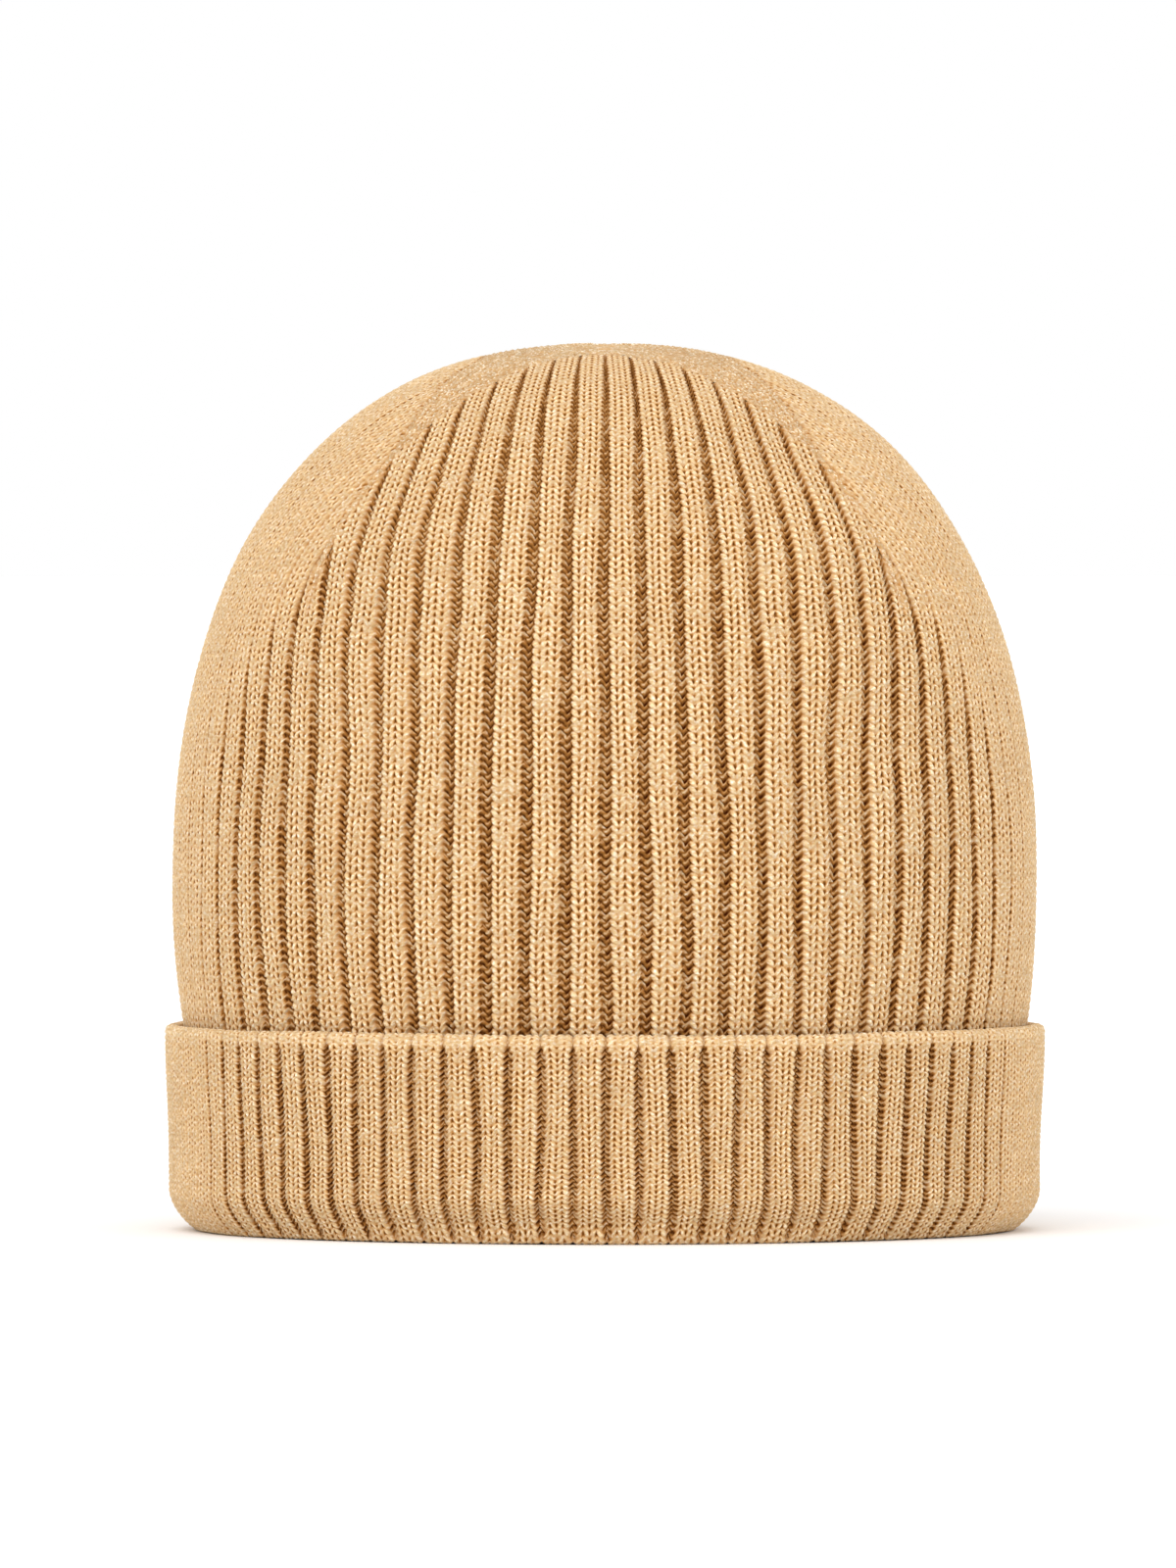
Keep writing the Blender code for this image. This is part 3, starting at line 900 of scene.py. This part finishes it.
def cuff_profile():
    """The turned-up band's outline: up from inside the fold, round it and over the rim."""
    flat_inner, flat_outer = FOLD_FLAT
    inner_wall = INNER_LAYER_RADIUS - FABRIC
    turn = np.linspace(math.pi / 2, 0.0, 10)
    radius = flat_inner + (inner_wall - flat_inner) * np.sin(turn)
    inner = stacked(radius, FOLD_INNER_RISE * (1 - np.cos(turn)))
    turn = np.linspace(0.0, math.pi / 2, 24)
    radius = flat_outer + (CUFF_WAIST_RADIUS - flat_outer) * np.sin(turn)
    outer = stacked(radius, FOLD_TOP_Z * (1 - np.cos(turn)) ** FOLD_ROUND)
    z = np.linspace(FOLD_TOP_Z, WELT_LOW_Z, 30)[1:]
    share = (z - FOLD_TOP_Z) / (WELT_LOW_Z - FOLD_TOP_Z)
    flare = (CUFF_TOP_RADIUS - CUFF_WAIST_RADIUS) * np.sin(share * math.pi / 2) ** 3
    wall = stacked(CUFF_WAIST_RADIUS + flare, z)
    start = np.array([[inner_wall, FOLD_TOP_Z]])
    below = np.concatenate([start, inner, outer])
    half_wide = (CUFF_TOP_RADIUS - CUFF_INNER_RADIUS) / 2
    straight = np.linspace(WELT_LOW_Z, WELT_TOP_Z - half_wide * 0.9, 4)
    turn = np.linspace(0.0, math.pi, 22)[1:-1]
    roll_z = straight[-1] + half_wide * 0.9 * np.sin(turn)
    roll_r = CUFF_TOP_RADIUS - half_wide * (1 - np.cos(turn))
    welt = [
        stacked(np.full(3, CUFF_TOP_RADIUS), straight[1:]),
        stacked(roll_r, roll_z),
        stacked(np.full(4, CUFF_INNER_RADIUS), straight[::-1]),
    ]
    profile = Profile(np.concatenate([below, wall, *welt]))
    ends = [len(below) - 1, len(below) + len(wall) - 1]
    return profile, *profile.walked[ends]


CUFF, CUFF_FOLD_END, CUFF_WALL_END = cuff_profile()


def cuff_lift(points, azimuth):
    """How far the fold's outer side is raised, at the front and the back."""
    radius = np.hypot(points[..., 0], points[..., 1])
    outside = smooth((radius - FOLD_FLAT[0]) / LIFT_GROWS)
    low_down = 1 - smooth(points[..., 2] / LIFT_FADES_Z)
    return FRONT_LIFT * np.cos(azimuth) ** 2 * low_down * outside


def make_cuff(material, welt_material):
    knit = CUFF_KNIT
    places = all_places(knit)
    turned_under = CUFF_FOLD_END - FOLD_TOP_Z - 2.6 * MM

    def close_under(s):
        """Furrows close as the fabric turns under the hat."""
        return smooth((s - turned_under) / (2.4 * MM))

    fold_grid = ribbed_skin(CUFF, knit, places, 0.0, CUFF_FOLD_END, close_under, cuff_lift)
    fold = build("cuff_roll", "cuff_fold", [fold_grid], material)

    seamed = beside_seam(knit, CUFF_WAIST_RADIUS)

    def taper(s):
        """Furrows come to a point just below the rim."""
        return smooth((CUFF_WALL_END - s) / (2.4 * MM)) ** 0.7

    layer_grid = ribbed_skin(CUFF, knit, seamed, CUFF_FOLD_END, CUFF_WALL_END, taper, cuff_lift)
    behind = upright(CUFF_INNER_RADIUS, FOLD_TOP_Z, WELT_LOW_Z, 16)
    azimuths = np.linspace(*ring_azimuths(knit, seamed[[0, -1]]), 6 * knit.ribs + 1)
    lining = lining_skin(behind, knit, azimuths, np.linspace(0, behind.length, 26), 0.0)
    layer = build("cuff_ribs", "cuff_outer_layer", [layer_grid, lining], material)

    # The selvedge: the wales run on over the rim and close up as they turn in
    edge = ribbed_skin(CUFF, knit, places, CUFF_WALL_END, CUFF.length, lambda s: 0.0 * s)
    welt = build("cuff_welt", "cuff_edge_welt", [edge], welt_material)
    return [(fold, "cuff_rib"), (layer, "cuff_rib"), (welt, "welt_knit")]


def make_inner_band(material):
    """The band's inner layer, whose ribs are pressed together behind the cuff."""
    profile = upright(INNER_LAYER_RADIUS, INNER_LAYER_LOW_Z, LINK_LOW_Z, 20)
    knit = CUFF_KNIT
    return shell(
        "band_inner", "band_inner_layer", profile, knit, beside_seam(knit, INNER_LAYER_RADIUS),
        profile.length, material, furrow=lambda s: 0.0 * s + PRESSED_FURROW,
    )


def seam_tube(name, node, line, side, out, half_wide, half_high, pitch, material, ring=False):
    """A linked seam or thread: a tube along a line, swelling at each of its stitches.

    side and out are the directions of its width and its height along the line.
    """
    walked = walk(line)[:, None]
    turn = np.linspace(0.0, TURN, 17)[None, :]
    swell = np.abs(np.sin(math.pi * walked / pitch + 0.5 * turn)) ** 0.7
    grow = 0.80 + 0.20 * swell
    if not ring:
        from_end = np.minimum(walked, walked[-1] - walked)
        grow = grow * (0.05 + 0.95 * np.sqrt(clipped(from_end / (0.8 * MM))))
    wide = (half_wide * np.cos(turn) * grow)[..., None] * side[:, None, :]
    high = (half_high * np.sin(turn) * grow)[..., None] * out[:, None, :]
    points = line[:, None, :] + wide + high
    share = walked / walked[-1]
    uv = stacked(turn / TURN, share) * 0.99 + 0.005
    yarn = stacked(turn * half_wide, walked, 0 * share)
    # Painted shade between the stitches' swellings
    painted_shade = 0.45 * (1 - swell) + 0.12
    return build(name, node, [grid_of(points, painted_shade, yarn, uv, flip=True)], material)


def upright_seam(name, node, profile, low, high, depth, half_high, pitch, material):
    """A seam at the back that follows a profile, centred a depth below its outer skin."""
    s = np.arange(low, high, 0.3 * MM)
    line = profile.skin(s, math.pi, -depth)
    _, _, out, up = profile.at(s)
    normal = stacked(out * 0, out, up)
    side = np.tile([1.0, 0.0, 0.0], (len(s), 1))
    return seam_tube(name, node, line, side, normal, SEAM_WIDE, half_high, pitch, material)


def ring_seam(name, node, radius, z, half_wide, half_high, pitch, material):
    """A seam or thread that goes all the way round at one height."""
    turn = np.linspace(0.0, TURN, round(TURN * radius / (0.35 * MM)) + 1)
    out = stacked(np.sin(turn), -np.cos(turn), 0 * turn)
    line = out * radius + np.array([0.0, 0.0, z])
    up = np.tile([0.0, 0.0, 1.0], (len(turn), 1))
    return seam_tube(name, node, line, out, up, half_wide, half_high, pitch, material, True)


def make_seams(material):
    """Every linked seam, with the body it rides on."""
    outer_depth = 0.70 * MM
    centre = (outer_depth + FABRIC + SEAM_RIDGE) / 2
    half = (FABRIC + SEAM_RIDGE - outer_depth) / 2
    size = (centre, half, BODY_KNIT.course, material)
    inner = upright(INNER_LAYER_RADIUS, INNER_LAYER_LOW_Z, LINK_LOW_Z, 12)
    back = upright_seam("seam_back", "back_seam", BODY, 0.0, CLOSING_START, *size)
    band = upright_seam("seam_inner_band", "band_inner_seam", inner, 0.0, inner.length, *size)
    size = (1.6 * MM, 0.95 * MM, CUFF_KNIT.course, material)
    cuff = upright_seam("seam_cuff", "cuff_back_seam", CUFF, CUFF_FOLD_END, CUFF_WALL_END, *size)
    link_z = (LINK_LOW_Z + LINK_TOP_Z) / 2
    link_wide = (FABRIC + SEAM_RIDGE) / 2
    link = ring_seam(
        "seam_link", "band_link_seam", INNER_LAYER_RADIUS - link_wide, link_z, link_wide,
        (LINK_TOP_Z - LINK_LOW_Z) / 2, 2.0 * MM, material,
    )
    low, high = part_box("closing_thread")
    thickness = (high.z - low.z) / 2
    thread = ring_seam(
        "thread_closing", "closing_thread", high.x - thickness, (low.z + high.z) / 2,
        thickness, thickness, 1.3 * MM, material,
    )
    return [(cuff, "cuff")] + [(seam, "hat_body") for seam in (back, band, link, thread)]


def label_path():
    """The folded ribbon seen from above, out to its fold and back, and its normals."""
    corners = frame["nodes"]["care_label"].data.vertices
    points = np.empty(len(corners) * 3, np.float32)
    corners.foreach_get("co", points)
    radius = float(np.hypot(*points.reshape(-1, 3)[:, :2].T).max())
    sewn = math.pi - math.asin(LABEL_SEWN_X / radius)
    free = math.pi - LABEL_LENGTH / 2 / radius
    outside, inside = radius - LABEL_PLY / 2, radius - LABEL_PLY * 1.5 - LABEL_GAP
    fold = (outside - inside) / 2
    reach = free + fold / radius
    there = np.linspace(sewn, reach, 44)
    turn = np.linspace(0.0, math.pi, 9)[1:-1]
    azimuth = np.concatenate([there, reach - fold * np.sin(turn) / radius, there[::-1]])
    bend = (outside + inside) / 2 + fold * np.cos(turn)
    line = np.concatenate([np.full(44, outside), bend, np.full(44, inside)])
    path = stacked(line * np.sin(azimuth), -line * np.cos(azimuth))
    return path, normals(path)


def make_label():
    """A blank label: a ribbon folded in two, with both its ends in the back seam."""
    path, side = label_path()
    low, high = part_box("care_label")
    z = np.linspace(low.z, high.z, 21)
    from_edge = np.minimum(z - z[0], z[-1] - z)
    selvedge = 0.65 + 0.35 * smooth(from_edge / (1.0 * MM))
    faces = []
    for sign in (1, -1):
        offset = sign * LABEL_PLY / 2 * selvedge[None, :, None] * side[:, None, :]
        flat = path[:, None, :] + offset
        faces.append(stacked(flat[..., 0], flat[..., 1], z[None, :]))
    walked = walk(path)
    share = walked / walked[-1]
    yarn = stacked(walked[:, None], z[None, :], 0.0)
    grids = []
    for k, points in enumerate(faces):
        uv = stacked(0.01 + 0.98 * share[:, None], (z - z[0])[None, :])
        uv[..., 1] = 0.01 + 0.5 * k + 0.44 * uv[..., 1] / (z[-1] - z[0])
        grids.append(grid_of(points, 0.0, yarn, uv, k == 0))
    for k, first in ((0, True), (-1, False)):
        ends = np.stack([points[k] for points in faces])
        selvedges = np.stack([points[:, k] for points in faces])
        for points, flip in ((ends, first), (selvedges, not first)):
            grids.append(grid_of(points, 0.1, points, 0.97, flip))
    return build("label", "care_label", grids, label_cloth())


def label_cloth():
    """A fine satin ribbon with a soft gloss and no lettering."""
    n = Nodes("woven_label")
    yarn = n.field("yarn")
    parts = n.add("ShaderNodeSeparateXYZ", {0: yarn}).outputs
    warp = n.math("SINE", n.times(parts["X"], TURN / (0.30 * MM)))
    weft = n.math("SINE", n.times(parts["Y"], TURN / (0.22 * MM)))
    weave = n.ramp(n.times(warp, weft), -1.0, 1.0)
    slub = n.noise(n.stretch(yarn, (60.0, 1500.0, 0.0)), 1.0, 2.0)
    colour = n.mix(weave, (0.70, 0.66, 0.58), LABEL_IVORY)
    colour = n.mix(n.times(slub, 0.35), colour, (0.74, 0.69, 0.60))
    n.surface("Base Color", colour)
    n.surface("Roughness", n.ramp(slub, 0.0, 1.0, 0.38, 0.62))
    n.surface("Sheen Weight", 0.15)
    bump = n.add("ShaderNodeBump", {"Height": weave, "Strength": 0.5, "Distance": 0.06 * MM})
    n.surface("Normal", bump.outputs["Normal"])
    return n.material


# Studio


def make_studio():
    """A pale floor, two soft lights and white surroundings."""
    floor = Nodes("studio_floor")
    place = floor.add("ShaderNodeTexCoord").outputs["Object"]
    tone = floor.noise(place, 0.6, 1.0)
    colour = floor.mix(floor.ramp(tone, 0.0, 1.0), (0.93, 0.93, 0.93), (0.95, 0.95, 0.95))
    floor.surface("Base Color", colour)
    floor.surface("Roughness", 0.9)
    mesh = bpy.data.meshes.new("studio_floor")
    size, front, back = 30.0, -8.0, 60.0
    corners = [(-size, front, 0), (size, front, 0), (size, back, 0), (-size, back, 0)]
    mesh.from_pydata(corners, [], [(0, 1, 2, 3)])
    mesh.materials.append(floor.material)
    placed("studio_floor", mesh)

    world = bpy.data.worlds.new("studio_white")
    world.use_nodes = True
    background = world.node_tree.nodes["Background"]
    background.inputs["Color"].default_value = (1.0, 1.0, 1.0, 1.0)
    background.inputs["Strength"].default_value = 1.0
    bpy.context.scene.world = world
    for name, place, width, strength in (
        ("key_light", (-0.8, -2.2, 2.2), 50.0, 1.3),
        ("fill_light", (1.8, -2.0, 0.8), 60.0, 0.5),
    ):
        light = bpy.data.lights.new(name, "SUN")
        light.angle = math.radians(width)
        light.energy = strength
        placed(name, light, place, Vector())


def make_camera():
    """Level with the crown, far away, looking a little down at the cuff's edge."""
    distance, height = 4.0, 149.0 * MM
    aim = Vector((-3.6 * MM, 0.0, 95.5 * MM))
    half_frame = 168.0 * MM  # half the frame's height, at the hat
    camera = bpy.data.cameras.new("camera")
    camera.sensor_width = 36.0
    camera.lens = camera.sensor_width / 2 * distance / half_frame
    bpy.context.scene.camera = placed("camera", camera, (aim.x, -distance, height), aim)
    bpy.context.scene.view_settings.view_transform = "Standard"


def declare_sheets():
    """Lists the crown's pieces; nothing is done with the list."""
    pieces = bpy.data.objects
    crown = [o for o in pieces if o.name.startswith(("gore_", "band_front", "band_back"))]
    crown += [pieces[name] for name in ("crown_top", "seam_back", "thread_closing")]


def main():
    make_studio()
    make_camera()
    crown_wool = wool("camel_crown")
    cuff_wool = wool("camel_cuff")
    # The plain knitting gets a darker copy of the yarn: painted shade
    plain_wool = wool("camel_plain_shaded", light=PLAIN_SHADED)

    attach(make_body(wool("camel_rib")), "hat_body")
    quarter = math.pi / 2
    gores = [
        ("gore_front", 0.0, -9, 9, 0),
        ("gore_right", quarter, -9, 9, 0),
        ("gore_left", -quarter, -9, 9, 0),
        ("gore_back_right", 2 * quarter, -9, 0, -1),
        ("gore_back_left", 2 * quarter, 0, 9, 1),
    ]
    for name, middle, first, last, side in gores:
        skins = [gore_skin(middle, first, last, side), gore_lining(middle, side)]
        gore = build(name, "crown_" + name, skins, crown_wool)
        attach(gore, "hat_body")
    bands = {"front_left": -0.5, "front_right": 0.5, "back_right": 1.5, "back_left": -1.5}
    for name, turn in bands.items():
        band = make_band("band_" + name, "fashioning_band_" + name, turn * quarter, plain_wool)
        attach(band, "hat_body")
    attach(make_closing(plain_wool), "hat_body")
    for piece, slot in make_cuff(cuff_wool, wool("camel_welt", shade_strength=0.8)):
        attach(piece, "cuff")
    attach(make_inner_band(cuff_wool), "hat_body")

    for seam, body in make_seams(wool("camel_seam", light=SEAM_YARN)):
        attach(seam, body)
    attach(make_label(), "label")

    declare_sheets()


main()
